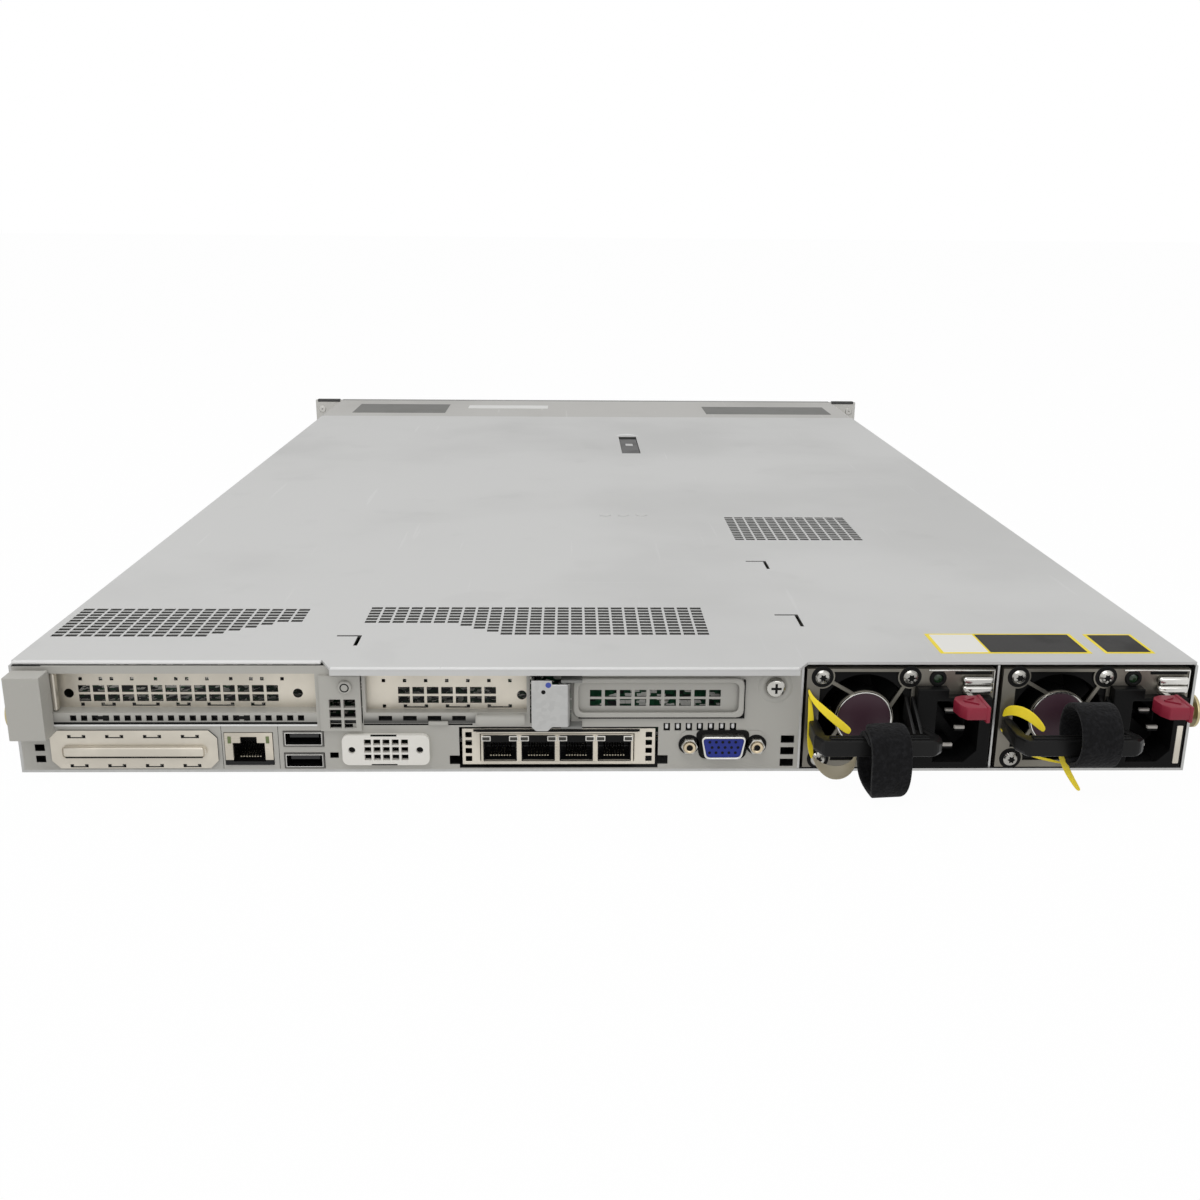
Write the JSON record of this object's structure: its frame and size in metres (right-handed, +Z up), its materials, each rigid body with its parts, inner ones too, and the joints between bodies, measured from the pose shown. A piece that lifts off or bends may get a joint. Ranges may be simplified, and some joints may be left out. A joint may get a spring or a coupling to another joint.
{
  "type": "one-unit rack server",
  "caption": "Flat rack server with perforated sliding cover, rear port panel, pull-out power supplies with handles and straps, internal fans, boards and drive bays.",
  "frame": {"origin": "centre of the underside, half way between the rear face and the face of the rack ears", "axes": "+X to the right as seen from behind, +Y towards the front, +Z up"},
  "size_m": [0.4826, 0.7437, 0.0429],
  "materials": {
    "galvanised_steel": "satin",
    "painted_panel": "satin",
    "cover_paint": "satin",
    "front_paint": "satin",
    "nickel_plate": "satin",
    "port_shell": "satin",
    "bright_steel": "polished",
    "psu_steel": "satin",
    "fin_aluminium": "satin",
    "board_green": "satin",
    "black_plastic": "matte",
    "dark_plastic": "matte",
    "white_plastic": "matte",
    "blue_plastic": "matte",
    "crimson_plastic": "matte",
    "strap_felt": "matte",
    "stud_brass": "satin"
  },
  "bodies": {
    "chassis": {"chassis_pan": "galvanised_steel", "rear_panel": "painted_panel", "riser_cages": "painted_panel", "slot_cover_1": "nickel_plate", "slot_cover_2": "nickel_plate", "slot_cover_3": "painted_panel", "lower_blank_plate": "nickel_plate", "network_ports": "port_shell", "lan_bracket": "nickel_plate", "usb_ports": "port_shell", "serial_port_cover": "white_plastic", "video_port": "port_shell", "panel_screws": "bright_steel", "latch_hinges": "bright_steel", "psu_bay_walls": "galvanised_steel", "system_board": "board_green", "memory_sockets": "black_plastic", "memory_modules": "board_green", "heat_sinks": "fin_aluminium", "riser_cards": "board_green", "fan_frames": "black_plastic", "drive_cage": "galvanised_steel", "drive_backplane": "board_green", "drive_fillers": "dark_plastic", "front_fascia": "dark_plastic", "front_top_plate": "front_paint", "rack_ears": "front_paint", "rail_studs": "stud_brass"},
    "cover": {"top_cover": "cover_paint", "cover_latch_tray": "dark_plastic"},
    "cover_latch": {"cover_latch": "dark_plastic"},
    "slot_latch_left": {"slot_latch_left": "painted_panel"},
    "slot_latch_mid": {"slot_latch_mid": "galvanised_steel"},
    "drive": {"drive_carrier": "dark_plastic"},
    "drive_lever": {"drive_lever": "dark_plastic"},
    "power_button": {"power_button": "black_plastic"},
    "uid_button": {"uid_button": "blue_plastic"},
    "fan_1": {"fan_rotor_1": "black_plastic"},
    "fan_2": {"fan_rotor_2": "black_plastic"},
    "fan_3": {"fan_rotor_3": "black_plastic"},
    "fan_4": {"fan_rotor_4": "black_plastic"},
    "fan_5": {"fan_rotor_5": "black_plastic"},
    "fan_6": {"fan_rotor_6": "black_plastic"},
    "fan_7": {"fan_rotor_7": "black_plastic"},
    "psu_1": {"psu_1_case": "psu_steel", "psu_1_fan_frame": "black_plastic", "psu_1_board": "board_green", "psu_1_inlet": "black_plastic", "psu_1_handle": "black_plastic", "psu_1_strap": "strap_felt"},
    "psu_1_fan": {"psu_1_fan_rotor": "black_plastic"},
    "psu_1_release": {"psu_1_release": "crimson_plastic"},
    "psu_2": {"psu_2_case": "psu_steel", "psu_2_fan_frame": "black_plastic", "psu_2_board": "board_green", "psu_2_inlet": "black_plastic", "psu_2_handle": "black_plastic", "psu_2_strap": "strap_felt"},
    "psu_2_fan": {"psu_2_fan_rotor": "black_plastic"},
    "psu_2_release": {"psu_2_release": "crimson_plastic"}
  },
  "joints": [
    {"name": "cover_slide", "type": "slide", "parent": "chassis", "child": "cover", "axis": [0, -1, 0], "range_m": [0, 0.012]},
    {"name": "cover_latch_lift", "type": "hinge", "parent": "cover", "child": "cover_latch", "pos_m": [0.02775, 0.08745, 0.03845], "axis": [1, 0, 0], "range_deg": [0, 80.5]},
    {"name": "slot_latch_left_swing", "type": "hinge", "parent": "chassis", "child": "slot_latch_left", "pos_m": [-0.2133, -0.3575, 0.0285], "axis": [0, 0, -1], "range_deg": [0, 95]},
    {"name": "slot_latch_mid_swing", "type": "hinge", "parent": "chassis", "child": "slot_latch_mid", "pos_m": [-0.0165, -0.3575, 0.0286], "axis": [0, 0, 1], "range_deg": [0, 100]},
    {"name": "drive_slide", "type": "slide", "parent": "chassis", "child": "drive", "axis": [0, 1, 0], "range_m": [0, 0.1]},
    {"name": "drive_lever_swing", "type": "hinge", "parent": "drive", "child": "drive_lever", "pos_m": [-0.12785, 0.35385, 0.011], "axis": [0, 0, -1], "range_deg": [0, 70]},
    {"name": "power_button_push", "type": "slide", "parent": "chassis", "child": "power_button", "axis": [0, -1, 0], "range_m": [0, 0.001], "stiffness_N_per_m": 1500},
    {"name": "uid_button_push", "type": "slide", "parent": "chassis", "child": "uid_button", "axis": [0, -1, 0], "range_m": [0, 0.001], "stiffness_N_per_m": 1500},
    {"name": "fan_1_spin", "type": "hinge", "parent": "chassis", "child": "fan_1", "pos_m": [-0.18, 0.0265, 0.021], "axis": [0, 1, 0], "continuous": true},
    {"name": "fan_2_spin", "type": "hinge", "parent": "chassis", "child": "fan_2", "pos_m": [-0.12, 0.0265, 0.021], "axis": [0, 1, 0], "continuous": true},
    {"name": "fan_3_spin", "type": "hinge", "parent": "chassis", "child": "fan_3", "pos_m": [-0.06, 0.0265, 0.021], "axis": [0, 1, 0], "continuous": true},
    {"name": "fan_4_spin", "type": "hinge", "parent": "chassis", "child": "fan_4", "pos_m": [0, 0.0265, 0.021], "axis": [0, 1, 0], "continuous": true},
    {"name": "fan_5_spin", "type": "hinge", "parent": "chassis", "child": "fan_5", "pos_m": [0.06, 0.0265, 0.021], "axis": [0, 1, 0], "continuous": true},
    {"name": "fan_6_spin", "type": "hinge", "parent": "chassis", "child": "fan_6", "pos_m": [0.12, 0.0265, 0.021], "axis": [0, 1, 0], "continuous": true},
    {"name": "fan_7_spin", "type": "hinge", "parent": "chassis", "child": "fan_7", "pos_m": [0.18, 0.0265, 0.021], "axis": [0, 1, 0], "continuous": true},
    {"name": "psu_1_slide", "type": "slide", "parent": "chassis", "child": "psu_1", "axis": [0, -1, 0], "range_m": [0, 0.2]},
    {"name": "psu_1_fan_spin", "type": "hinge", "parent": "psu_1", "child": "psu_1_fan", "pos_m": [0.09455, -0.3535, 0.0213], "axis": [0, 1, 0], "continuous": true},
    {"name": "psu_1_release_push", "type": "slide", "parent": "psu_1", "child": "psu_1_release", "axis": [-1, 0, 0], "range_m": [0, 0.003], "stiffness_N_per_m": 2000},
    {"name": "psu_2_slide", "type": "slide", "parent": "chassis", "child": "psu_2", "axis": [0, -1, 0], "range_m": [0, 0.2]},
    {"name": "psu_2_fan_spin", "type": "hinge", "parent": "psu_2", "child": "psu_2_fan", "pos_m": [0.16715, -0.3535, 0.0213], "axis": [0, 1, 0], "continuous": true},
    {"name": "psu_2_release_push", "type": "slide", "parent": "psu_2", "child": "psu_2_release", "axis": [-1, 0, 0], "range_m": [0, 0.003], "stiffness_N_per_m": 2000}
  ],
  "couplings": [
    {"joint": "cover_latch_lift", "follows": "cover_slide", "rad_per_m": 116.36}
  ]
}
